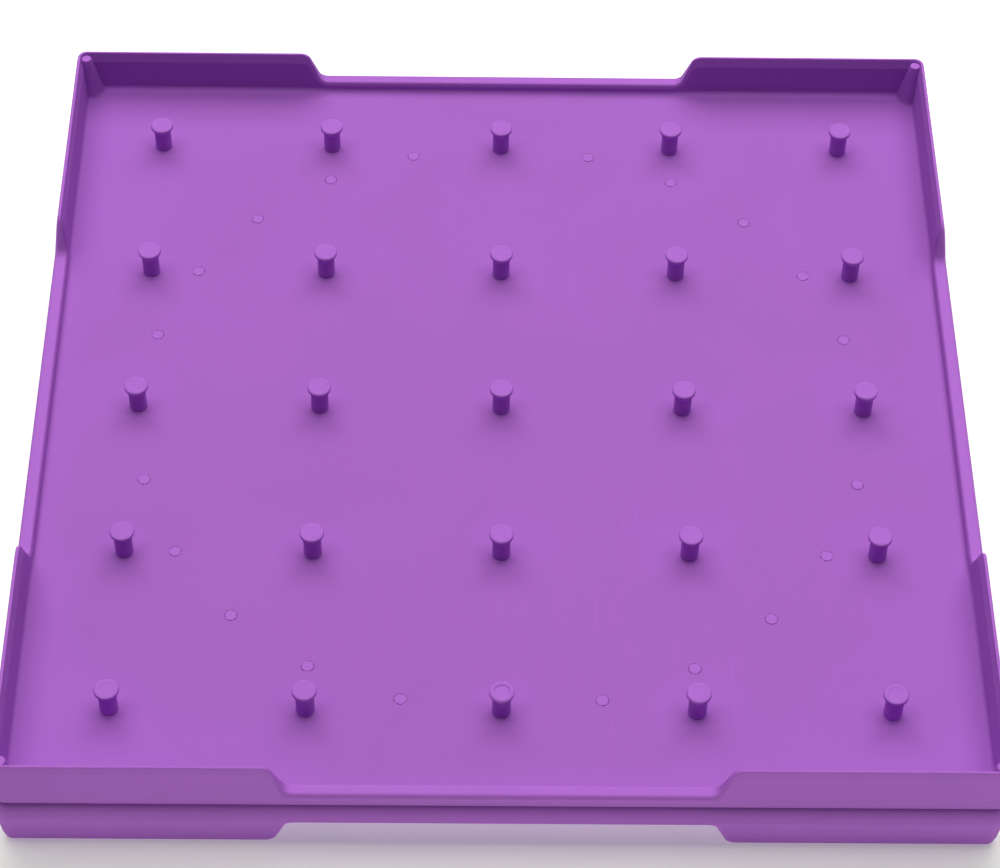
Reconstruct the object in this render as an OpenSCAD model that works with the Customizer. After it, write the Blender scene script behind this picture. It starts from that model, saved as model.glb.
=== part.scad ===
// Double-sided peg board for stretching rubber bands: two square moulded trays, back to
// back. The upper tray carries a square grid of pegs, the lower tray a circle of pegs.
// Every peg is a separate pin with a flared head and a thin tail. The tail is pressed
// through the floors of both trays, and that is what holds the two trays together.
// +Z is up, and the origin is the centre of the surface that the board stands on.

/* [Trays] */
// Distance from the outermost pegs to the tall walls: it sets the board's width
edge_gap = 21.7; // [15:0.1:35]
// Thickness of one tray's floor where it rests on the other tray
floor_t = 3.2; // [2.4:0.1:5]
// Height of the tall corner walls above the floor
tall_wall = 11.8; // [10:0.1:16]
// Height of the low wall stretches above the floor
low_wall = 2.8; // [1:0.1:4]
// Thickness of the tall walls at the rim, before the bevel inside it
wall_t = 1.7; // [1.2:0.1:2.4]
// How far a wall's outer face leans inwards on its way from the side groove to the tall rim
outer_draft = 1.1; // [0.3:0.1:2.4]
// How far a tall wall's inner face leans outwards on its way from the floor to the bevel
inner_draft = 0.6; // [0.1:0.1:1]
// Radius of the board's corners in plan, just above the side groove
corner_r = 3.6; // [3:0.1:8]
// Radius of the inside corners in plan, at the floor
inner_r = 0.5; // [0.2:0.1:2]
// Radius round each tray's back edge: two of them, back to back, form the side groove
groove_r = 3.6; // [1:0.1:3.6]
// Width of the bevel inside the tall rims
bevel_w = 0.8; // [0.2:0.1:1]
// Height of the bevel inside the tall rims
bevel_h = 2.6; // [1:0.1:4]

/* [Backs] */
// Depth of the shallow recess in each tray's back, which keeps the moulding even
recess_t = 1.2; // [0.3:0.1:1.6]
// Width of the flat land left round the recess, inside the tall walls
land_w = 5; // [2:0.5:12]
// Diameter of the land left round each peg's hole
boss_d = 7; // [5:0.1:9]

/* [Low wall stretches] */
// Length of the low rim, in the middle of each side
low_len = 93.4; // [60:0.2:120]
// Slope of the wall where it climbs from the low rim to the tall rim, in degrees
climb_angle = 69; // [45:1:80]
// Radius of the two bends at the foot and head of the climb
climb_r = 2.8; // [1:0.1:3.5]
// How far the thicker low wall reaches in past the tall wall
low_inset = 0.3; // [0.1:0.1:1.2]
// How far the thick stretch runs past each end of the low rim
low_lap = 2.1; // [1:0.1:3]

/* [Corner posts] */
// Radius of the post in each corner, at the floor
post_base_r = 3.9; // [2.5:0.1:6]
// Radius of its flat top
post_top_r = 1.3; // [1:0.1:1.6]
// How far the post's axis stands in from the inner corner of the two walls
post_inset = 0; // [0:0.1:2]
// How far its top stays below the tall rim
post_drop = 0.6; // [0.1:0.1:3]

/* [Peg places] */
// Distance between neighbouring grid pegs
peg_pitch = 45; // [38:0.5:48]
// Grid pegs along one side
grid_n = 5; // [3:2:5]
// Pegs round the circle
circle_n = 24; // [12:4:24]

/* [Pegs] */
// Height of a peg above its floor
peg_h = 8; // [6:0.1:9]
// Diameter of the shaft
shaft_d = 4.3; // [3.6:0.1:5]
// Diameter of the flared head
head_d = 5.8; // [5.2:0.1:7]
// Thickness of the head's straight rim
head_t = 1; // [0.9:0.1:1.6]
// Height of the flare from the shaft to the head
flare_h = 1.2; // [0.5:0.1:2.5]
// Radius round the head's top edge
head_r = 0.8; // [0.1:0.05:0.9]
// Diameter of the shallow dish in the head
dish_d = 3.6; // [2:0.1:3.8]
// Depth of that dish
dish_t = 0.15; // [0.1:0.05:0.4]
// Diameter of the tail that holds the peg
tail_d = 2.8; // [2:0.1:3.2]
// Clearance round a tail in its hole
tail_clear = 0.02; // [0.01:0.01:0.1]
// How far a long tail stands out of the far floor
tail_proud = 0.15; // [0.05:0.05:0.3]
// Gap between the ends of two short tails that meet in one hole, and the trays' joint
tail_gap = 0.1; // [0.05:0.05:0.3]

/* [Hidden] */
$fn = 48;
eps = 1;                                  // overshoot of every cut
tray_h = floor_t + tall_wall;             // one tray, back to rim
mid_z = tray_h;                           // the plane where the trays meet
grid_mid = (grid_n - 1) / 2;              // grid steps from the centre to an outer peg
circle_r = grid_mid * peg_pitch;          // the circle's cross falls on grid pegs
inner_half = circle_r + edge_gap;         // tall walls, inner face at the floor
rim_half = inner_half + inner_draft + wall_t;   // tall walls, outer face at the rim
outer_half = rim_half + outer_draft;      // outer face just above the groove
back_r = min(groove_r, corner_r);         // the back edge can't be rounder than the corner
low_rim = floor_t + low_wall;             // low rim above the tray's back
low_in = inner_half - low_inset;          // thick stretch, inner face
low_core = inner_half + inner_draft + wall_t / 2;  // its other side, inside the tall wall
post_place = inner_half - inner_r * (1 - cos(45)) - post_inset;  // post's axis, X and Y
clear_of = 2 * shaft_d;                   // closer than this, two pegs share one hole
climb_steps = 6;                          // flats in each bend of the climb
plum = "#a565c4";

// ---- where the pegs stand: grid by rows from the front, circle anticlockwise from +X
grid_places = [for (row = [0:grid_n - 1], col = [0:grid_n - 1])
    [(col - grid_mid) * peg_pitch, (row - grid_mid) * peg_pitch]];
ring_places = [for (k = [0:circle_n - 1])
    circle_r * [cos(360 * k / circle_n), sin(360 * k / circle_n)]];
circle_places = concat(ring_places, [[0, 0]]);

function shared(place, others) =
    len([for (other = others) if (norm(place - other) < clear_of) 1]) > 0;
function far_tails(places, others) = [for (p = places) if (!shared(p, others)) p];

// ---- names
function two_digits(k) = k < 10 ? str("0", k) : str(k);
grid_names = [for (row = [1:grid_n], col = [1:grid_n]) str("grid_peg_r", row, "c", col)];
ring_names = [for (k = [1:circle_n]) str("circle_peg_", two_digits(k))];
circle_names = concat(ring_names, ["circle_peg_centre"]);

// ---- trays, drawn with the back on z = 0 and the open side up

// Section of a tray's edge. x is measured from the axis of the corner, y is height.
module tray_edge(x_in) {
    difference() {
        polygon([
            [x_in, 0],
            [corner_r, 0],
            [corner_r, back_r],
            [corner_r - outer_draft, tray_h],
            [x_in, tray_h]
        ]);
        translate([corner_r - back_r, 0])
            difference() {
                translate([0, -eps])
                    square([back_r + eps, back_r + eps]);
                translate([0, back_r])
                    circle(back_r);
            }
    }
}

// Section of the space inside the tall walls, with the bevel under the rim.
module hollow_edge(x_in) {
    polygon([
        [x_in, floor_t],
        [inner_r, floor_t],
        [inner_r + inner_draft, tray_h - bevel_h],
        [inner_r + inner_draft + bevel_w, tray_h],
        [inner_r + inner_draft + bevel_w, tray_h + eps],
        [x_in, tray_h + eps]
    ]);
}

// Carries an edge section round a square with rounded corners. Child 0 has its inner
// end on the corner's axis, child 1 reaches a little further in, to join the middle.
module around(half, r, low, high) {
    flat = half - r;
    for (turn = [0, 90])
        rotate([90, 0, turn])
            linear_extrude(2 * flat, center = true) {
                for (side = [0, 1])
                    mirror([side, 0])
                        translate([flat, 0])
                            children(1);
                translate([-flat, low])
                    square([2 * flat, high - low]);
            }
    for (turn = [0:90:270])
        rotate([0, 0, turn])
            translate([flat, flat, 0])
                rotate_extrude(angle = 90)
                    children(0);
}

module tray_block() {
    around(outer_half, corner_r, 0, tray_h) {
        tray_edge(0);
        tray_edge(-eps);
    }
}

module tray_hollow() {
    around(inner_half, inner_r, floor_t, tray_h + eps) {
        hollow_edge(0);
        hollow_edge(-eps);
    }
}

module corner_posts() {
    for (turn = [0:90:270])
        rotate([0, 0, turn])
            translate([post_place, post_place, floor_t])
                cylinder(r1 = post_base_r, r2 = post_top_r, h = tall_wall - post_drop);
}

// What makes the low stretches thicker: a pad inside each wall, still at full height.
module low_pads() {
    length = low_len + 2 * low_lap;
    for (turn = [0:90:270])
        rotate([0, 0, turn])
            translate([low_in, -length / 2, floor_t / 2])
                cube([low_core - low_in, length, tray_h - floor_t / 2]);
}

// Half of the outline of the gap above a low stretch: a climb with two equal bends.
function climb_foot() = [for (i = [0:climb_steps])
    let (a = climb_angle * i / climb_steps)
    [low_len / 2 + climb_r * sin(a), low_rim + climb_r * (1 - cos(a))]];
function climb_run() = let (
    bends = 2 * climb_r * (1 - cos(climb_angle)),
    straight = (tray_h - low_rim - bends) / sin(climb_angle)
) 2 * climb_r * sin(climb_angle) + straight * cos(climb_angle);
function climb_head() = [for (i = [climb_steps:-1:0])
    let (a = climb_angle * i / climb_steps)
    [low_len / 2 + climb_run() - climb_r * sin(a), tray_h - climb_r * (1 - cos(a))]];

module gap_outline() {
    for (side = [0, 1])
        mirror([side, 0])
            polygon(concat(
                [[-eps, low_rim]],
                climb_foot(),
                climb_head(),
                [[low_len / 2 + climb_run(), tray_h + eps], [-eps, tray_h + eps]]
            ));
}

module wall_gaps() {
    for (turn = [0, 90])
        rotate([90, 0, turn])
            linear_extrude(2 * outer_half + 2 * eps, center = true)
                gap_outline();
}

module peg_holes(places) {
    for (place = places)
        translate([place.x, place.y, -eps])
            cylinder(d = tail_d + 2 * tail_clear, h = floor_t + 2 * eps);
}

module back_recess(hole_places) {
    half = inner_half - land_w;
    translate([0, 0, -eps])
        linear_extrude(recess_t + eps)
            difference() {
                square(2 * half, center = true);
                for (place = hole_places)
                    translate(place)
                        circle(d = boss_d);
            }
}

module tray(hole_places) {
    difference() {
        union() {
            difference() {
                tray_block();
                difference() {
                    tray_hollow();
                    corner_posts();
                }
            }
            low_pads();
        }
        wall_gaps();
        peg_holes(hole_places);
        back_recess(hole_places);
    }
}

module grid_tray() {
    color(plum)
        translate([0, 0, mid_z])
            tray(concat(grid_places, far_tails(circle_places, grid_places)));
}

module circle_tray() {
    color(plum)
        translate([0, 0, mid_z])
            mirror([0, 0, 1])
                tray(concat(circle_places, far_tails(grid_places, circle_places)));
}

// ---- pegs, drawn with the shoulder on z = 0 and the head up

module peg_section(tail_len) {
    neck = peg_h - head_t - flare_h;
    translate([0, -tail_len])
        square([tail_d / 2, tail_len + eps]);
    square([shaft_d / 2, neck]);
    difference() {
        polygon([
            [0, neck],
            [shaft_d / 2, neck],
            [head_d / 2, peg_h - head_t],
            [head_d / 2, peg_h],
            [0, peg_h]
        ]);
        translate([head_d / 2 - head_r, peg_h - head_r])
            difference() {
                square([head_r + eps, head_r + eps]);
                circle(head_r);
            }
        translate([0, peg_h - dish_t])
            square([dish_d / 2, dish_t + eps]);
    }
}

module peg(place, others) {
    both_floors = 2 * floor_t + tail_proud;
    tail_len = shared(place, others) ? floor_t - tail_gap : both_floors;
    translate([place.x, place.y, floor_t])
        rotate_extrude()
            peg_section(tail_len);
}

module grid_peg(k) {
    color(plum)
        translate([0, 0, mid_z])
            peg(grid_places[k], circle_places);
}

module circle_peg(k) {
    color(plum)
        translate([0, 0, mid_z])
            mirror([0, 0, 1])
                peg(circle_places[k], grid_places);
}

grid_tray();
circle_tray();
for (k = [0:len(grid_names) - 1])
    grid_peg(k);
for (k = [0:len(circle_names) - 1])
    circle_peg(k);
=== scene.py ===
# %% [markdown]
# # A two-sided peg board in moulded plastic
# The object is a square board for stretching rubber bands. Two identical plastic trays lie
# back to back. The upper one carries a grid of pegs, the lower one a circle of pegs. The
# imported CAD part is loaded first, and every piece made here is laid over it in the same
# frame: metres, +Z up, origin under the middle of the board.

# %% Load the frame
import math

import bmesh
import bpy
import numpy as np
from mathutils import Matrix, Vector
from mathutils.geometry import delaunay_2d_cdt


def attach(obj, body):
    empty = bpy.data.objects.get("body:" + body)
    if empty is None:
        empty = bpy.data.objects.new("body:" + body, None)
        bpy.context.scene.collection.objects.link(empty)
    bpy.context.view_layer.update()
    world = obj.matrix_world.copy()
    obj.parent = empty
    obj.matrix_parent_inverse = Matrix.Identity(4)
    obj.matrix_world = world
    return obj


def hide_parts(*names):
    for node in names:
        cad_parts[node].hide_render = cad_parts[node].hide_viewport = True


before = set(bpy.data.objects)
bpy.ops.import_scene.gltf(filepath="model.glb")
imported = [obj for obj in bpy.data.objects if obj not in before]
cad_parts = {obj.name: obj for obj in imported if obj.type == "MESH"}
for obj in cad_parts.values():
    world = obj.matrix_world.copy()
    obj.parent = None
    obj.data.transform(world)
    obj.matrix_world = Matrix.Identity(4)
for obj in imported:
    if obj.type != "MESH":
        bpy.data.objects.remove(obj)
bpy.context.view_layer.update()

# %% [markdown]
# ## Sizes
# The board is drawn in millimetres, because its parts are a few millimetres thick. Each
# tray is drawn from its back, at height 0, up to its rims. The main sizes are those of
# the CAD part, so the two fit each other. A few small ones follow the photograph more
# closely: the groove is a little flatter and higher than the plain round of the CAD
# part, the heads have a thinner edge, and the tails hardly stand out. Every edge also
# gets a small radius, because a mould never leaves a knife edge, and those soft edges
# are what catches the light.

# %% Sizes in millimetres
MM = 0.001
PITCH, GRID_N, CIRCLE_N = 45.0, 5, 24  # peg to peg, pegs in a row, pegs in the circle
FLOOR_T, TALL_WALL, LOW_WALL = 3.2, 11.8, 2.8  # the walls are measured from the floor
EDGE_GAP = 21.7  # from the outer pegs to the wall's foot
WALL_T, OUTER_DRAFT, INNER_DRAFT = 1.7, 1.1, 0.6  # at the rim, and how far each face leans
CORNER_R, INNER_R = 3.6, 0.5  # corners of the tray seen from above, outside and inside
GROOVE_DEEP, GROOVE_HIGH = 2.2, 5.0  # one tray's half of the groove
BEVEL_W, BEVEL_H = 0.8, 2.6  # slope inside the tall rim
LOW_HALF = 46.7  # half the length of a low stretch
CLIMB, CLIMB_R = math.radians(69), 2.8  # slant of the climb and radius of its bends
INSET = 0.3  # how much further in the low wall's foot stands
POST_BASE_R, POST_TOP_R, POST_DROP = 3.9, 1.3, 0.6  # corner post, and rim to its top
PEG_H, SHAFT_D = 8.0, 4.3
HEAD_D, HEAD_T, FLARE_H = 5.8, 0.8, 1.2
DISH_D, DISH_T = 3.6, 0.15
TAIL_D, TAIL_CLEAR, TAIL_PROUD, TAIL_GAP = 2.8, 0.02, 0.06, 0.1

# %% Places that follow from the sizes
TRAY_H = FLOOR_T + TALL_WALL
LOW_RIM = FLOOR_T + LOW_WALL
MID_Z = TRAY_H
CIRCLE_R = (GRID_N - 1) / 2 * PITCH
INNER = CIRCLE_R + EDGE_GAP
OUTER = INNER + INNER_DRAFT + WALL_T + OUTER_DRAFT
AXIS = OUTER - CORNER_R  # the corner's outer face turns round a point at (AXIS, AXIS)
INNER_AXIS = INNER - INNER_R
FLOOR_EDGE = INNER - 2.2  # where the wall's sections end on the floor
print("one tray is", 2 * OUTER, "mm wide and", TRAY_H, "mm high")

# %% [markdown]
# ## Camera
# The photograph looks down on the board from the front, at about 51 degrees. The camera's
# place was worked out from the peg grid, the rims and the groove: a long lens, about
# 0.76 m away, with no shift. The front corners run out of the picture on both sides, as
# they do there. The camera stands a few millimetres left of the middle and is rolled by
# less than one degree, which gives the picture its slight lean.

# %% Camera
CAMERA_PLACE = (-0.00783, -0.47316, 0.59257)
CAMERA_TURN = (38.9889, -0.7297, -0.0288)
camera_data = bpy.data.cameras.new("camera")
camera_data.sensor_fit = "HORIZONTAL"
camera_data.sensor_width = 36.0
camera_data.lens = 107.75
camera_data.clip_start = 0.05
camera_data.clip_end = 20.0
camera = bpy.data.objects.new("camera", camera_data)
camera.location = CAMERA_PLACE
camera.rotation_euler = [math.radians(angle) for angle in CAMERA_TURN]
bpy.context.scene.collection.objects.link(camera)
bpy.context.scene.camera = camera
print("camera at", [round(v, 3) for v in camera.location], "lens", camera_data.lens, "mm")

# %% [markdown]
# ## Writing node trees as expressions
# Materials and Geometry Nodes are both trees of nodes. Placed one by one they hide the
# idea, so a small class wraps a socket and turns plus, minus, times and so on into Math
# nodes. One method adds any other node from its type, its settings and its inputs.

# %% A socket that understands arithmetic
class Wire:
    """An output socket of a node, ready for arithmetic with numbers or other wires."""

    def __init__(self, net, socket):
        self.net, self.socket = net, socket

    def math(self, operation, *others):
        inputs = dict(enumerate((self, *others)))
        return self.net.add("ShaderNodeMath", {"operation": operation}, inputs).out()

    def __add__(self, other):
        return self.math("ADD", other)

    def __sub__(self, other):
        return self.math("SUBTRACT", other)

    def __mul__(self, other):
        return self.math("MULTIPLY", other)

    def __truediv__(self, other):
        return self.math("DIVIDE", other)

    __radd__ = __add__
    __rmul__ = __mul__

    def clamped(self):
        node = self.net.add("ShaderNodeMath", {"operation": "ADD", "use_clamp": True},
                            {0: self, 1: 0.0})
        return node.out()


# %% A tree that adds nodes
class Added:
    """A node that was just added, whose outputs come back as wires."""

    def __init__(self, net, node):
        self.net, self.node = net, node

    def out(self, key=0):
        return Wire(self.net, self.node.outputs[key])


class Net:
    """Adds nodes to a tree: settings first, then the values or links of the inputs."""

    def __init__(self, tree):
        self.tree = tree

    def add(self, kind, settings=None, inputs=None):
        node = self.tree.nodes.new(kind)
        for name, value in (settings or {}).items():
            setattr(node, name, value)
        for key, value in (inputs or {}).items():
            self.feed(node.inputs[key], value)
        return Added(self, node)

    def feed(self, socket, value):
        if isinstance(value, Wire):
            self.tree.links.new(value.socket, socket)
        else:
            socket.default_value = value

    def ramp(self, value, start, end):
        """0 at start, 1 at end, straight in between."""
        return self.add("ShaderNodeMapRange", {}, {
            "Value": value, "From Min": start, "From Max": end}).out()

    def noise(self, place, scale, detail, **more):
        """A noise texture, as a wire from 0 to 1."""
        inputs = {"Vector": place, "Scale": scale, "Detail": detail}
        inputs.update({key.capitalize(): value for key, value in more.items()})
        return self.add("ShaderNodeTexNoise", {}, inputs).out("Fac")


print("helpers ready:", Wire.__name__, Net.__name__)

# %% [markdown]
# ## The plastic
# Trays and pegs are the same satin plastic, the pegs a little lighter. On the real board
# the purple is very even. What keeps it from looking flat is small: the melt leaves slow,
# faint swirls in the colour, the steel of the mould leaves a fine grain that softens the
# shine, and fingers and table tops leave hairline scratches and a few dull patches. The
# tops of the rims get a painted highlight and the lip over the groove a painted shade.
# The patterns run on Object coordinates, in metres, so that they stay at their real size.

# %% Scratches
def hairlines(net, place):
    """Long thin scratches in three directions: 1 in a scratch, 0 beside it."""
    lines = None
    for angle, spread in ((0.5, 140.0), (-0.9, 110.0), (1.9, 170.0)):
        stretched = net.add("ShaderNodeMapping", {"vector_type": "POINT"},
                            {"Vector": place, "Rotation": (0, 0, angle),
                             "Scale": (spread * 16, spread * 0.4, spread)}).out()
        line = net.ramp(net.noise(stretched, 1.0, 0.0, distortion=0.3), 0.76, 0.80)
        lines = line if lines is None else lines.math("MAXIMUM", line)
    return lines


# %% Painted light and shade on the rims
LIP_SHADE = 1.4  # painted shade on the lip, for each part of painted highlight on the tops


def rim_shade(net, place):
    """Painted light and shade: above 0 on the flat tops of the rims, a painted highlight,
    below 0 on the lip that overhangs the groove, a painted shade, and 0 elsewhere."""
    split = net.add("ShaderNodeSeparateXYZ", {}, {"Vector": place})
    x, y, z = (split.out(axis) for axis in "XYZ")
    normal = net.add("ShaderNodeNewGeometry").out("Normal")
    up = net.add("ShaderNodeSeparateXYZ", {}, {"Vector": normal}).out("Z")
    level = (z - MID_Z * MM).math("ABSOLUTE")
    out_from_middle = x.math("ABSOLUTE").math("MAXIMUM", y.math("ABSOLUTE"))
    tops = (net.ramp(up.math("ABSOLUTE"), 0.6, 0.95)
            * net.ramp(level, (LOW_RIM - 0.5) * MM, (LOW_RIM - 0.3) * MM))
    lip = (net.ramp(out_from_middle, (OUTER - 2.4) * MM, (OUTER - 1.8) * MM)
           * net.ramp(z, (MID_Z + 5.5) * MM, (MID_Z + 2.5) * MM)
           * net.ramp(z, (MID_Z - 1.0) * MM, MID_Z * MM))
    return tops - lip * LIP_SHADE


# %% Satin plastic
def satin_plastic(name, colour, gloss, wear, rim_painted_light=0.0):
    """A moulded plastic: colour as linear RGB, the rest from 0 to 1."""
    material = bpy.data.materials.new(name)
    material.use_nodes = True
    net = Net(material.node_tree)
    shader = material.node_tree.nodes["Principled BSDF"]
    place = net.add("ShaderNodeTexCoord").out("Object")

    swirl = net.noise(place, 28.0, 3.0, roughness=0.5, distortion=0.8)
    cloud = net.noise(place, 9.0, 1.0)
    grain = net.noise(place, 2600.0, 2.0, roughness=0.6)
    waves = net.noise(place, 60.0, 1.0)
    marks = hairlines(net, place) * (0.25 + net.ramp(cloud, 0.45, 0.7) * 0.75) * wear

    # the rim term is painted highlight on the rim tops and painted shade on the lip
    shade = (1.0 + (swirl - 0.5) * 0.09 + (cloud - 0.5) * 0.05 + marks * 0.10
             + rim_shade(net, place) * rim_painted_light)
    tint = net.add("ShaderNodeMix", {"data_type": "RGBA", "blend_type": "MULTIPLY"},
                   {"Factor": 1.0, "A": (*colour, 1.0), "B": shade}).out("Result")
    net.feed(shader.inputs["Base Color"], tint)
    rough = (1.0 - gloss) + (grain - 0.5) * 0.10 + (cloud - 0.5) * 0.10 + marks * 0.18
    net.feed(shader.inputs["Roughness"], rough.clamped())
    relief = grain * 0.5 + waves * 1.6 - marks * 1.2
    bump = net.add("ShaderNodeBump", {}, {"Strength": 0.12, "Distance": 0.12 * MM,
                   "Height": relief}).out()
    net.feed(shader.inputs["Normal"], bump)
    shader.inputs["IOR"].default_value = 1.5
    shader.inputs["Specular IOR Level"].default_value = 0.16
    return material


TRAY_COLOUR = (0.41, 0.13, 0.575)
PEG_COLOUR = (0.46, 0.15, 0.66)
# the last number sets the painted highlight and shade on the tray's rims
tray_plastic = satin_plastic("purple_tray_plastic", TRAY_COLOUR, 0.36, 0.6, 0.16)
peg_plastic = satin_plastic("purple_peg_plastic", PEG_COLOUR, 0.38, 0.3)
print("materials:", tray_plastic.name, peg_plastic.name)

# %% [markdown]
# ## The trays
# A tray is one moulding: a floor with a wall round it. The wall is tall at the corners
# and low in the middle of each side, and it climbs between the two in an S-curve. It
# could be cut from blocks with booleans, but those leave sharp, uneven edges. Here the
# wall's section is drawn at a few hundred stations round the rim, each with its own
# height, and the sections are joined into clean quads. Every corner of a section is
# rounded, so each edge gets the small radius that the mould gives it. The low wall
# stands in a little further on its inside, and this extra thickness fades over the climb.

# %% The rim's height along one side
BEND = CLIMB_R * math.sin(CLIMB)
RISE = CLIMB_R * (1 - math.cos(CLIMB))
STRAIGHT = (TRAY_H - LOW_RIM - 2 * RISE) / math.tan(CLIMB)
CLIMB_END = LOW_HALF + 2 * BEND + STRAIGHT


def rim_height(along):
    """Height of the rim at this distance from the middle of a side."""
    x = along - LOW_HALF
    if x <= 0:
        return LOW_RIM
    if x < BEND:
        return LOW_RIM + CLIMB_R - math.sqrt(CLIMB_R ** 2 - x * x)
    if x < BEND + STRAIGHT:
        return LOW_RIM + RISE + (x - BEND) * math.tan(CLIMB)
    x = 2 * BEND + STRAIGHT - x
    return TRAY_H if x <= 0 else TRAY_H - CLIMB_R + math.sqrt(CLIMB_R ** 2 - x * x)


print("the climb runs from", LOW_HALF, "to", round(CLIMB_END, 2), "mm")

# %% The stations from the middle of a side to the corner
BEND_STEPS = 9


def side_stations():
    """(distance along the side, share of the low wall's extra thickness). They lie far
    apart where the wall is straight and close together round the bends."""
    bends = [CLIMB_R * math.sin(CLIMB * k / BEND_STEPS) for k in range(BEND_STEPS + 1)]
    places = [*range(0, 41, 8), LOW_HALF - 2.7, LOW_HALF - 0.9]
    places += [LOW_HALF + b for b in bends] + [CLIMB_END - b for b in bends]
    places += list(np.linspace(LOW_HALF + BEND, CLIMB_END - BEND, 5)[1:-1])
    places += list(np.linspace(CLIMB_END + 1, AXIS - 1, 9)) + [AXIS]
    fade = [np.clip((CLIMB_END - p) / (CLIMB_END - LOW_HALF), 0.0, 1.0) for p in places]
    return sorted(zip(np.round(places, 5), fade))


stations = side_stations()
print(len(stations), "stations on half a side")

# %% A line with rounded corners
def rounded(points, softness):
    """A polyline with arcs at its inner corners. Each corner has a radius, the share of
    the lines before and after it that the arc may take up, and a number of steps."""
    line = [points[0]]
    for before, corner, after, soft in zip(points, points[1:], points[2:], softness):
        r, room_before, room_after, steps = soft
        reach = min(room_before * np.linalg.norm(before - corner),
                    room_after * np.linalg.norm(after - corner))
        u = (before - corner) / np.linalg.norm(before - corner)
        v = (after - corner) / np.linalg.norm(after - corner)
        half = math.acos(max(-1.0, min(1.0, float(u @ v)))) / 2
        r = min(r, math.tan(half) * reach)
        middle = (u + v) / np.linalg.norm(u + v) * r / math.sin(half)
        start, end = u * r / math.tan(half) - middle, v * r / math.tan(half) - middle
        sweep = math.pi - 2 * half
        for k in range(steps + 1):
            a, b = math.sin(sweep * (1 - k / steps)), math.sin(sweep * k / steps)
            line.append(corner + middle + (start * a + end * b) / math.sin(sweep))
    return np.array(line + [points[-1]])


# %% One section of the wall
BEVEL_START, BEVEL_FADE = 0.4, 3.2  # the bevel grows over this height above the low rim
BEVEL_LEAST, LOW_BEVEL_H = 0.06, 1.0  # what is left of it on the low wall
SHOULDER = 1.9  # how far below the rim the outer face starts to turn in
GROOVE_STEPS = 14


def wall_section(height, thick):
    """Points (distance from the board's middle, height) from the back to the floor. The
    bevel inside the rim is full on the tall wall and nearly gone on the low one. Corners
    are softened at the shoulder, both edges of the rim, the bevel's foot and the wall's."""
    share = min(1.0, max(0.0, (height - LOW_RIM - BEVEL_START) / BEVEL_FADE))
    bevel = BEVEL_LEAST + (1 - BEVEL_LEAST) * share * share * (3 - 2 * share)
    groove = [(OUTER - GROOVE_DEEP * (1 - math.sin(t)), GROOVE_HIGH * (1 - math.cos(t)))
              for t in np.linspace(0, math.pi / 2, GROOVE_STEPS + 1)]
    lean = OUTER_DRAFT / (TRAY_H - GROOVE_HIGH)
    top = OUTER - lean * (height - GROOVE_HIGH)
    fall = min(SHOULDER, 0.8 * (height - GROOVE_HIGH))
    foot = INNER - thick * INSET
    turn = height - LOW_BEVEL_H - (BEVEL_H - LOW_BEVEL_H) * bevel
    inside = foot + INNER_DRAFT * (turn - FLOOR_T) / (TRAY_H - BEVEL_H - FLOOR_T)
    corners = np.array([
        groove[-1],
        (top + lean * fall, height - fall),
        (top - 0.45 + 0.2 * bevel, height),
        (inside + BEVEL_W * (0.5 + 0.5 * bevel), height),
        (inside, turn),
        (foot, FLOOR_T),
        (FLOOR_EDGE, FLOOR_T)])
    softness = [
        (3.0, 0.8, 0.49, 3),
        (0.9, 0.5, 0.5, 5),
        (0.8 - 0.68 * bevel, 0.5 - 0.2 * bevel, 0.49, 4),
        (1.0, 0.49, 0.49, 3),
        (1.2, 0.49, 0.95, 5)]
    return np.vstack([groove[:-1], rounded(corners, softness)])


print(len(wall_section(TRAY_H, 0.0)), "points in a section")

# %% The ring of sections
CORNER_STEPS = 8


def turned(x, y, quarter):
    """A point turned about the board's middle by this many right angles."""
    cos, sin = math.cos(quarter * math.pi / 2), math.sin(quarter * math.pi / 2)
    return x * cos - y * sin, x * sin + y * cos


def wall_ring():
    """All sections round the tray, as an array of station x point x (x, y, z). The outer
    and the inner face turn the corner round axes of their own."""
    out, high = wall_section(TRAY_H, 0.0).T
    rim = np.argmax(high)
    axis = np.where(np.arange(len(high)) <= rim, AXIS, INNER_AXIS)
    centre = np.minimum(axis, out)
    corner = [(centre + (out - centre) * math.cos(a), centre + (out - centre) * math.sin(a),
               high) for a in np.linspace(0, math.pi / 2, CORNER_STEPS + 1)[1:-1]]
    side = []
    for along, thick in stations:
        out, high = wall_section(rim_height(along), thick).T
        side.append((out, np.minimum(along, np.minimum(axis, out)), high))
    next_side = [(along, out, high) for out, along, high in side[:0:-1]]
    return np.array([np.column_stack([*turned(x, y, quarter), z])
                     for quarter in range(4) for x, y, z in side + corner + next_side])


ring = wall_ring()
print("ring of", ring.shape[0], "sections with", ring.shape[1], "points each")

# %% [markdown]
# ## The floor and its holes
# Every peg is pressed in by a thin tail. Under a peg's own shoulder the hole can't be
# seen, but the tails of the pegs on the other face come right through and end flush with
# this floor, as small round marks. So the floor gets a hole at each of those places,
# with a tiny rounded mouth. A constrained triangulation fills the floor between them.

# %% Places of the pegs
middle = (GRID_N - 1) / 2
grid_places = [((c - middle) * PITCH, (r - middle) * PITCH)
               for r in range(GRID_N) for c in range(GRID_N)]
circle_places = [(CIRCLE_R * math.cos(2 * math.pi * k / CIRCLE_N),
                  CIRCLE_R * math.sin(2 * math.pi * k / CIRCLE_N)) for k in range(CIRCLE_N)]
circle_places.append((0.0, 0.0))


def alone(place, others):
    """True if no peg on the other face stands on the same spot."""
    return all(math.dist(place, other) > 2 * SHAFT_D for other in others)


circle_tails = [p for p in circle_places if alone(p, grid_places)]
grid_tails = [p for p in grid_places if alone(p, circle_places)]
print(len(circle_tails), "tail ends on the grid face,", len(grid_tails), "on the circle face")

# %% The floor's edge
def floor_edge():
    """The innermost points of all sections, each place once."""
    places = []
    for x, y, _ in ring[:, -1]:
        if not places or math.dist(places[-1], (x, y)) > 1e-3:
            places.append((float(x), float(y)))
    return places


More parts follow.
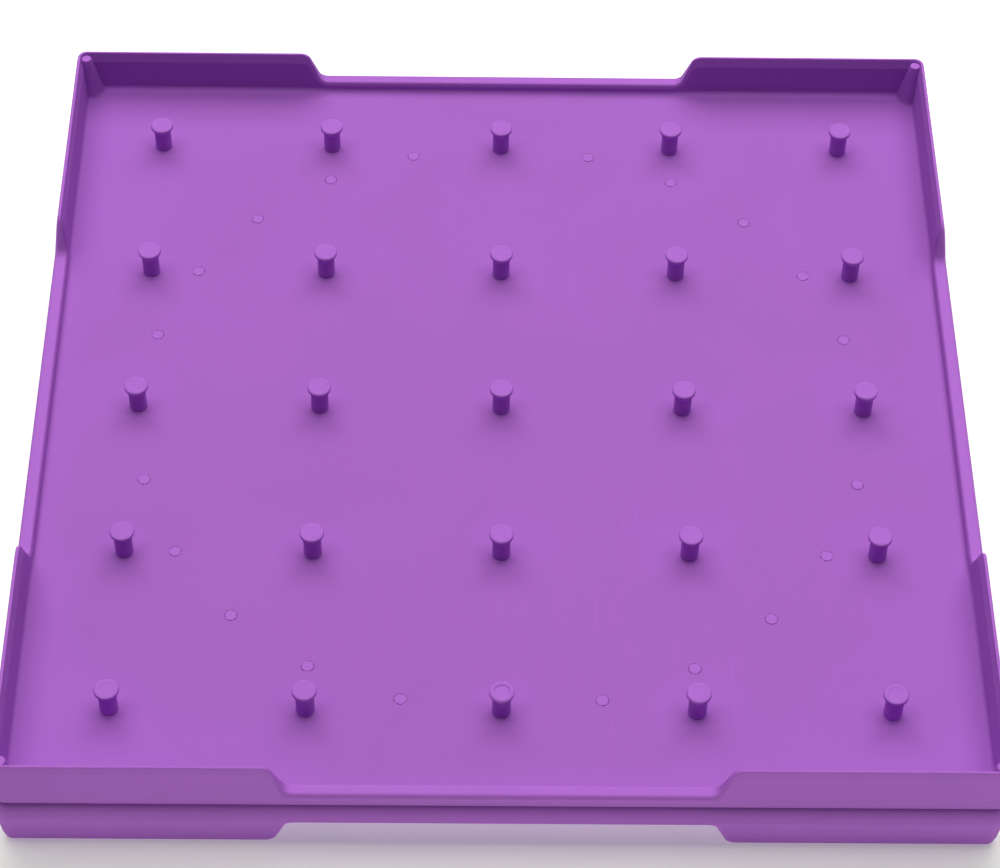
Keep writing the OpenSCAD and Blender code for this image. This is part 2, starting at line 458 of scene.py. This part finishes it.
print(len(floor_edge()), "points round the floor's edge")

# %% A floor with holes
HOLE_SIDES = 28
HOLE_MOUTH, HOLE_DEPTH = 0.05, 1.2  # rounding of the mouth, and how deep a hole is drawn


def band(low, high, sides):
    """Quads between two rings of points, given the first point of each."""
    return [(low + k, low + (k + 1) % sides, high + (k + 1) % sides, high + k)
            for k in range(sides)]


def floor_with_holes(places):
    """Points and faces of the floor, and of the walls of a hole at each place."""
    turns = [2 * math.pi * k / HOLE_SIDES for k in range(HOLE_SIDES)]
    bore = TAIL_D / 2 + TAIL_CLEAR
    rings = [(bore + 3 * HOLE_MOUTH, 0.0), (bore + HOLE_MOUTH, 0.0),
             (bore + 0.3 * HOLE_MOUTH, -0.3 * HOLE_MOUTH), (bore, -HOLE_MOUTH),
             (bore, -HOLE_DEPTH)]
    widest = rings[0][0]
    flat = [Vector(p) for p in floor_edge()]
    edges = [(k, (k + 1) % len(flat)) for k in range(len(flat))]
    for x, y in places:
        first = len(flat)
        flat += [Vector((x + widest * math.cos(t), y + widest * math.sin(t))) for t in turns]
        edges += [(first + k, first + (k + 1) % HOLE_SIDES) for k in range(HOLE_SIDES)]
    points, _, triangles, *_ = delaunay_2d_cdt(flat, edges, [], 1, 1e-7)
    verts = [(p.x, p.y, FLOOR_T) for p in points]
    faces = []
    for tri in triangles:
        a, b, c = (points[i] for i in tri)
        centre = (a + b + c) / 3
        if all(math.dist(centre, p) > widest * 0.9 for p in places):
            up = (b.x - a.x) * (c.y - a.y) - (b.y - a.y) * (c.x - a.x) > 0
            faces.append(tuple(tri) if up else tuple(tri[::-1]))
    for x, y in places:
        for k, (r, z) in enumerate(rings):
            if k > 0:
                faces += band(len(verts) - HOLE_SIDES, len(verts), HOLE_SIDES)
            verts += [(x + r * math.cos(t), y + r * math.sin(t), FLOOR_T + z) for t in turns]
        faces.append(tuple(range(len(verts) - HOLE_SIDES, len(verts))))
    return verts, faces


# %% [markdown]
# ## The corner posts
# A tapered post stands in each corner of a tray and ends just below the rim in a small
# flat top. It melts into the two walls, so it is turned like a cone and the part that
# would reach through the walls is pressed back inside them.

# %% Corner post
POST_SIDES = 48
POST_FOOT = ((0.6, -0.1), (0.35, 0.06), (0.1, 0.25))
POST_SOFT = 0.25  # radius of the top's edge
POST_COVER = 0.7  # plastic left between a post and the wall's outer face


def corner_post(quarter):
    """Points and faces of one post, closed, with its back hidden in the walls. The foot
    is given as steps (outwards, upwards) from the cone's base on the floor."""
    top = TRAY_H - POST_DROP
    slope = (POST_BASE_R - POST_TOP_R) / (top - FLOOR_T)
    curve = [(POST_BASE_R + out, FLOOR_T + up) for out, up in POST_FOOT]
    curve += [(POST_BASE_R - slope * h, FLOOR_T + h)
              for h in np.linspace(0.6, top - FLOOR_T - 0.6, 9)]
    curve += [(POST_TOP_R + POST_SOFT * (math.cos(a) - 1), top + POST_SOFT * (math.sin(a) - 1))
              for a in np.radians([0, 30, 60, 90])]
    place = INNER - INNER_R * (1 - math.cos(math.pi / 4))
    limit = OUTER - OUTER_DRAFT - POST_COVER
    verts, faces = [], []
    for level, (r, z) in enumerate(curve):
        if level > 0:
            faces += band(len(verts) - POST_SIDES, len(verts), POST_SIDES)
        for a in (2 * math.pi * k / POST_SIDES for k in range(POST_SIDES)):
            x, y = (min(limit, place + r * f(a)) for f in (math.cos, math.sin))
            verts.append((*turned(x, y, quarter), z))
    faces.append(tuple(range(len(verts) - POST_SIDES, len(verts))))
    faces.append(tuple(range(POST_SIDES))[::-1])
    return verts, faces


print("a post has", len(corner_post(0)[0]), "points")

# %% [markdown]
# ## From points to a piece
# The parts of a tray are joined into one mesh, and points on the same spot are merged, so
# that the surface is closed. Faces that meet at a blunt angle are shaded smooth. A
# Weighted Normal modifier then lets the large flat faces decide the shading, which keeps
# them flat right up to their soft edges.

# %% Mesh helpers
def solid(name, verts, faces, material, upside_down=False):
    """A closed mesh in metres, drawn from the tray's back upwards, set in place."""
    points = np.array(verts, dtype=float)
    points[:, 2] = MID_Z - points[:, 2] if upside_down else MID_Z + points[:, 2]
    if upside_down:
        faces = [tuple(face[::-1]) for face in faces]
    mesh = bpy.data.meshes.new(name)
    mesh.from_pydata((points * MM).tolist(), [], faces)
    merge_points(mesh)
    mesh.materials.append(material)
    piece = bpy.data.objects.new(name, mesh)
    bpy.context.scene.collection.objects.link(piece)
    return piece


def merge_points(mesh):
    """Joins points that lie on the same spot. Distances are in metres."""
    work = bmesh.new()
    work.from_mesh(mesh)
    bmesh.ops.remove_doubles(work, verts=work.verts, dist=2e-6)
    bmesh.ops.dissolve_degenerate(work, edges=work.edges, dist=1e-7)
    work.to_mesh(mesh)
    work.free()


def finish_smooth(piece, sharp_from=32):
    """Smooth shading with flat faces kept flat, baked into a plain mesh."""
    piece.data.shade_smooth()
    piece.data.set_sharp_from_angle(angle=math.radians(sharp_from))
    weighted = piece.modifiers.new("flat faces lead", "WEIGHTED_NORMAL")
    weighted.mode = "FACE_AREA"
    weighted.weight = 50
    weighted.keep_sharp = True
    graph = bpy.context.evaluated_depsgraph_get()
    mesh = bpy.data.meshes.new_from_object(piece.evaluated_get(graph))
    piece.modifiers.clear()
    piece.data = mesh
    return piece


# %% The two trays
def tray(name, places, upside_down):
    """Wall, floor and posts as one piece, with a hole in the floor at each place."""
    verts = ring.reshape(-1, 3).tolist()
    count, width = ring.shape[:2]
    faces = [(i * width + j, (i + 1) % count * width + j,
              (i + 1) % count * width + j + 1, i * width + j + 1)
             for i in range(count) for j in range(width - 1)]
    faces.append(tuple(i * width for i in range(count))[::-1])
    for more_verts, more_faces in [floor_with_holes(places)] + [corner_post(q) for q in range(4)]:
        first = len(verts)
        verts += [tuple(v) for v in more_verts]
        faces += [tuple(first + i for i in face) for face in more_faces]
    return finish_smooth(solid(name, verts, faces, tray_plastic, upside_down))


grid_tray = tray("grid_tray_shell", circle_tails, False)
circle_tray = tray("circle_tray_shell", grid_tails, True)
print("tray faces:", len(grid_tray.data.polygons), len(circle_tray.data.polygons))

# %% [markdown]
# ## The pegs
# The pegs are alike except for the dish in the head, which is all but plain, faint or
# clear. The peg is turned like on a lathe: a line of named sizes is rounded with Fillet
# Curve, and a grid of points is wrapped round the axis, each row taking its radius and
# height from one point of the line. Geometry Nodes then sets a peg on every place, and a
# stored number on the place picks the dish. Loose fits and hand assembly leave every peg
# a little out of true, so a random tilt with a fixed seed is added. Tails that reach the
# other face are longer, and a second stored number says how long each one is.

# %% Tree inputs
def group(name, sizes):
    """An empty Geometry Nodes tree with a mesh input and named size inputs."""
    tree = bpy.data.node_groups.new(name, "GeometryNodeTree")
    tree.interface.new_socket("Places", in_out="INPUT", socket_type="NodeSocketGeometry")
    kinds = {float: "NodeSocketFloat", int: "NodeSocketInt"}
    for label, value in sizes.items():
        socket = tree.interface.new_socket(label, in_out="INPUT",
                                           socket_type=kinds[type(value)])
        socket.default_value = value
    tree.interface.new_socket("Plastic", in_out="INPUT", socket_type="NodeSocketMaterial")
    tree.interface.new_socket("Pegs", in_out="OUTPUT", socket_type="NodeSocketGeometry")
    net = Net(tree)
    entry = net.add("NodeGroupInput")
    return net, {label: entry.out(label) for label in ["Places", *sizes, "Plastic"]}


# %% A lathe made of nodes
def chosen(net, kind, index, values):
    """The value whose number in the list is the index."""
    switch = net.add("GeometryNodeIndexSwitch", {"data_type": kind})
    while len(switch.node.index_switch_items) < len(values):
        switch.node.index_switch_items.new()
    net.feed(switch.node.inputs["Index"], index)
    for k, value in enumerate(values):
        net.feed(switch.node.inputs[str(k)], value)
    return switch.out()


def lathe(net, corners, segments, fillet_steps):
    """Turns the line through (radius, height, fillet) corners round Z."""
    index = net.add("GeometryNodeInputIndex").out()
    line = net.add("GeometryNodeMeshLine", {}, {"Count": len(corners)}).out()
    spots = [net.add("ShaderNodeCombineXYZ", {}, {"X": radius, "Z": height}).out()
             for radius, height, _ in corners]
    placed = net.add("GeometryNodeSetPosition", {}, {
        "Geometry": line, "Position": chosen(net, "VECTOR", index, spots)}).out()
    curve = net.add("GeometryNodeMeshToCurve", {}, {"Mesh": placed}).out()
    fillets = chosen(net, "FLOAT", index, [fillet for _, _, fillet in corners])
    curve = net.add("GeometryNodeFilletCurve", {"mode": "POLY"},
                    {"Curve": curve, "Radius": fillets, "Count": fillet_steps,
                     "Limit Radius": True}).out()
    count = net.add("GeometryNodeAttributeDomainSize", {"component": "CURVE"},
                    {"Geometry": curve}).out("Point Count")
    sheet = net.add("GeometryNodeMeshGrid", {},
                    {"Vertices X": segments + 1, "Vertices Y": count}).out("Mesh")
    across = (index / count).math("FLOOR")
    along = index - across * count
    sample = net.add("GeometryNodeSampleIndex",
                     {"data_type": "FLOAT_VECTOR", "domain": "POINT"},
                     {"Geometry": curve, "Index": along,
                      "Value": net.add("GeometryNodeInputPosition").out()}).out()
    split = net.add("ShaderNodeSeparateXYZ", {}, {"Vector": sample})
    turn = across * (2 * math.pi / segments)
    radius = split.out("X")
    wrapped = net.add("ShaderNodeCombineXYZ", {}, {
        "X": radius * turn.math("COSINE"), "Y": radius * turn.math("SINE"),
        "Z": split.out("Z")}).out()
    shape = net.add("GeometryNodeSetPosition", {}, {"Geometry": sheet, "Position": wrapped})
    return net.add("GeometryNodeMergeByDistance", {},
                   {"Geometry": shape.out(), "Distance": 1e-7}).out()


# %% Bodies and tail of a peg
DISH_SHARES = (0.15, 0.5, 1.6)  # depth of the plain, the faint and the clear dish
SUNK = -0.3 * MM  # a body starts a little below the floor, so no gap shows round it


def peg_bodies(net, use):
    """A body for each depth of dish, as a list of instances to pick from."""
    high, shaft, head = use["Peg height"], use["Shaft radius"], use["Head radius"]
    under = high - use["Head thickness"]
    neck = under - use["Flare height"]
    dish = use["Dish radius"]
    bodies = []
    for share in DISH_SHARES:
        deep = use["Dish depth"] * share
        body = lathe(net, [
            (0.0, SUNK, 0.0),
            (shaft, SUNK, 0.0),
            (shaft, neck, 0.8 * MM),
            (head, under, 0.12 * MM),
            (head, high, use["Edge radius"]),
            (dish + deep, high, 0.3 * MM),
            (dish - deep, high - deep, 0.5 * MM),
            (0.0, high - deep, 0.0)], 40, 6)
        bodies.append(net.add("GeometryNodeGeometryToInstance", {}, {0: body}).out())
    choice = net.add("GeometryNodeJoinGeometry")
    for body in reversed(bodies):
        net.tree.links.new(body.socket, choice.node.inputs[0])
    return choice.out()


def peg_tail(net, use):
    """A tail one metre long, so that scaling it by the stored length sets its length."""
    tail = use["Tail radius"]
    return lathe(net, [(0.0, SUNK, 0.0), (tail, SUNK, 0.0),
                       (tail, -1.0, 0.16 * MM), (0.0, -1.0, 0.0)], 28, 3)


# %% The peg tree
def peg_tree():
    """A Geometry Nodes tree that sets a peg on each point of its input mesh."""
    net, use = group("pegs", {
        "Peg height": PEG_H * MM, "Shaft radius": SHAFT_D / 2 * MM,
        "Head radius": HEAD_D / 2 * MM, "Head thickness": HEAD_T * MM,
        "Flare height": FLARE_H * MM, "Dish radius": DISH_D / 2 * MM,
        "Dish depth": DISH_T * MM, "Edge radius": 0.45 * MM,
        "Tail radius": TAIL_D / 2 * MM, "Largest tilt": 0.008, "Turn over": 0.0, "Seed": 3})
    tilt = net.add("FunctionNodeRandomValue", {"data_type": "FLOAT_VECTOR"},
                   {0: (-1, -1, 0), 1: (1, 1, 0), "Seed": use["Seed"]}).out()
    tilt = net.add("ShaderNodeVectorMath", {"operation": "SCALE"},
                   {0: tilt, "Scale": use["Largest tilt"]}).out("Vector")
    over = net.add("ShaderNodeCombineXYZ", {}, {"X": use["Turn over"]}).out()
    tilt = net.add("ShaderNodeVectorMath", {"operation": "ADD"},
                   {0: tilt, 1: over}).out("Vector")
    length = net.add("GeometryNodeInputNamedAttribute", {"data_type": "FLOAT"},
                     {"Name": "tail_length"}).out("Attribute")
    stretch = net.add("ShaderNodeCombineXYZ", {}, {"X": 1.0, "Y": 1.0, "Z": length}).out()
    kind = net.add("GeometryNodeInputNamedAttribute", {"data_type": "INT"},
                   {"Name": "dish_kind"}).out("Attribute")
    bodies = net.add("GeometryNodeInstanceOnPoints", {}, {
        "Points": use["Places"], "Instance": peg_bodies(net, use), "Pick Instance": True,
        "Instance Index": kind, "Rotation": tilt}).out()
    tails = net.add("GeometryNodeInstanceOnPoints", {}, {
        "Points": use["Places"], "Instance": peg_tail(net, use), "Rotation": over,
        "Scale": stretch}).out()
    joined = net.add("GeometryNodeJoinGeometry")
    for part in (bodies, tails):
        net.tree.links.new(part.socket, joined.node.inputs[0])
    real = net.add("GeometryNodeRealizeInstances", {}, {"Geometry": joined.out()}).out()
    coated = net.add("GeometryNodeSetMaterial", {}, {"Geometry": real,
                     "Material": use["Plastic"]}).out()
    net.add("NodeGroupOutput", {}, {"Pegs": coated})
    return net.tree


peg_nodes = peg_tree()
print("peg tree has", len(peg_nodes.nodes), "nodes")

# %% Set the pegs
def socket_id(tree, label):
    """The name that a modifier knows this input by."""
    return next(item.identifier for item in tree.interface.items_tree
                if item.name == label and item.in_out == "INPUT")


def set_pegs(name, places, others, upside_down, seed, dished):
    """One mesh with a peg at each place on the floor of a tray. A tail runs through
    both floors unless a peg of the other face stands there; dished holds the kind of
    dish by the place's number, where it isn't the plain one."""
    level = MID_Z - FLOOR_T if upside_down else MID_Z + FLOOR_T
    mesh = bpy.data.meshes.new(name)
    mesh.from_pydata([(x * MM, y * MM, level * MM) for x, y in places], [], [])
    through = 2 * FLOOR_T + TAIL_PROUD
    lengths = [through if alone(p, others) else FLOOR_T - TAIL_GAP for p in places]
    attribute = mesh.attributes.new("tail_length", "FLOAT", "POINT")
    attribute.data.foreach_set("value", [v * MM for v in lengths])
    kinds = mesh.attributes.new("dish_kind", "INT", "POINT")
    kinds.data.foreach_set("value", [dished.get(k, 0) for k in range(len(places))])
    piece = bpy.data.objects.new(name, mesh)
    bpy.context.scene.collection.objects.link(piece)
    modifier = piece.modifiers.new("pegs", "NODES")
    modifier.node_group = peg_nodes
    modifier[socket_id(peg_nodes, "Turn over")] = math.pi if upside_down else 0.0
    modifier[socket_id(peg_nodes, "Seed")] = seed
    modifier[socket_id(peg_nodes, "Plastic")] = peg_plastic
    graph = bpy.context.evaluated_depsgraph_get()
    plain = bpy.data.meshes.new_from_object(piece.evaluated_get(graph))
    piece.modifiers.clear()
    piece.data = plain
    return finish_smooth(piece, 40)


FAINT, CLEAR = 1, 2
grid_dishes = {2: CLEAR, 0: FAINT, 4: FAINT}
circle_dishes = {k: FAINT for k in range(0, CIRCLE_N, 5)}
grid_pegs = set_pegs("grid_pegs", grid_places, circle_places, False, 3, grid_dishes)
circle_pegs = set_pegs("circle_pegs", circle_places, grid_places, True, 8, circle_dishes)
print("peg faces:", len(grid_pegs.data.polygons), len(circle_pegs.data.polygons))

# %% [markdown]
# ## Floor and light
# The board lies on a plain white table. A photographer lights such a product with a large
# soft lamp above and behind it: the floor of the tray is bright, walls that face the
# camera are darker, and every peg has a soft shadow towards the front. The table would
# render light grey at this level of light, so white is added to it for camera rays
# alone, which keeps the shadow and adds no light to the board. Less is added in a strip
# along the front of the board, where the photograph's shadow is deepest. A second glow
# is met only by rays that bounce. It stands for the lit table round the board, and is
# weaker under the board, where the table lies in shade.

# %% White table
TABLE_COLOUR = (0.84, 0.88, 0.78, 1)
STRIP_AHEAD, STRIP_HALF = 0.129, 0.13  # the strip's middle line and half its length, in metres


def white_table():
    """A pale material; its two glows are (ray, strength, measure, from, to, least)."""
    material = bpy.data.materials.new("white_table")
    material.use_nodes = True
    net = Net(material.node_tree)
    shader = material.node_tree.nodes["Principled BSDF"]
    shader.inputs["Base Color"].default_value = TABLE_COLOUR
    shader.inputs["Roughness"].default_value = 0.6
    shader.inputs["Specular IOR Level"].default_value = 0.2
    path = net.add("ShaderNodeLightPath")
    place = net.add("ShaderNodeTexCoord").out("Object")
    split = net.add("ShaderNodeSeparateXYZ", {}, {"Vector": place})
    across, deep = split.out("X").math("ABSOLUTE"), split.out("Y")
    away = across.math("MAXIMUM", deep.math("ABSOLUTE"))
    off_strip = (deep + STRIP_AHEAD).math("ABSOLUTE").math("MAXIMUM", across - STRIP_HALF)
    surface = Wire(net, shader.outputs[0])
    for ray, strength, measure, start, end, least in (
            ("Is Camera Ray", 0.45, off_strip, 0.005, 0.029, 0.25),
            ("Is Diffuse Ray", 1.15, away, 0.118, 0.150, 0.45)):
        grey = net.add("ShaderNodeMapRange", {}, {
            "Value": measure, "From Min": start, "From Max": end,
            "To Min": least, "To Max": 1.0}).out()
        glow = net.add("ShaderNodeEmission", {}, {
            "Color": grey, "Strength": path.out(ray) * strength}).out()
        surface = net.add("ShaderNodeAddShader", {}, {0: surface, 1: glow}).out()
    net.feed(material.node_tree.nodes["Material Output"].inputs["Surface"], surface)
    return material


# %% Table and lamps
TABLE_DROP = 0.0002


def table(size=3.0):
    """A square sheet just under the board."""
    mesh = bpy.data.meshes.new("table")
    h = size / 2
    corners = [(-h, -h), (h, -h), (h, h), (-h, h)]
    mesh.from_pydata([(x, y, -TABLE_DROP) for x, y in corners], [], [(0, 1, 2, 3)])
    mesh.materials.append(white_table())
    piece = bpy.data.objects.new("table", mesh)
    bpy.context.scene.collection.objects.link(piece)
    return piece


def lamp(name, place, target, size, watts):
    """A soft rectangular lamp that points at the target."""
    data = bpy.data.lights.new(name, "AREA")
    data.shape = "RECTANGLE"
    data.size, data.size_y = size
    data.energy = watts
    piece = bpy.data.objects.new(name, data)
    piece.location = place
    direction = Vector(target) - Vector(place)
    piece.rotation_euler = direction.to_track_quat("-Z", "Y").to_euler()
    bpy.context.scene.collection.objects.link(piece)
    return piece


table()
lamp("overhead_softbox", (0.0, 0.05, 2.0), (0, 0, 0), (3.0, 0.75), 23)
lamp("back_softbox", (0.0, 1.3, 1.6), (0, 0, 0), (2.8, 1.3), 34)

# %% The studio around
world = bpy.data.worlds.new("studio")
bpy.context.scene.world = world
world.use_nodes = True
net = Net(world.node_tree)
path = net.add("ShaderNodeLightPath")
seen = path.out("Is Camera Ray").math("MAXIMUM", path.out("Is Glossy Ray") * 0.5)
back = world.node_tree.nodes["Background"]
back.inputs["Color"].default_value = (1, 1, 1, 1)
net.feed(back.inputs["Strength"], seen * 0.96 + 0.04)
bpy.context.scene.view_settings.view_transform = "Standard"
print("table, lamps and studio ready")

# %% [markdown]
# ## The pieces on the body
# Each piece rides on the board's one body, and the CAD nodes that it stands for are
# hidden.

# %% Pieces and nodes
node_names = list(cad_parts)
grid_nodes = [n for n in node_names if n.startswith("grid_peg")]
circle_nodes = [n for n in node_names if n.startswith("circle_peg")]
for piece, nodes, slot in ((grid_tray, ["grid_tray"], "tray_plastic"),
                           (circle_tray, ["circle_tray"], "tray_plastic"),
                           (grid_pegs, grid_nodes, "peg_plastic"),
                           (circle_pegs, circle_nodes, "peg_plastic")):
    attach(piece, "root")
    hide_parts(*nodes)
    print(piece.name, "stands for", len(nodes), "nodes")
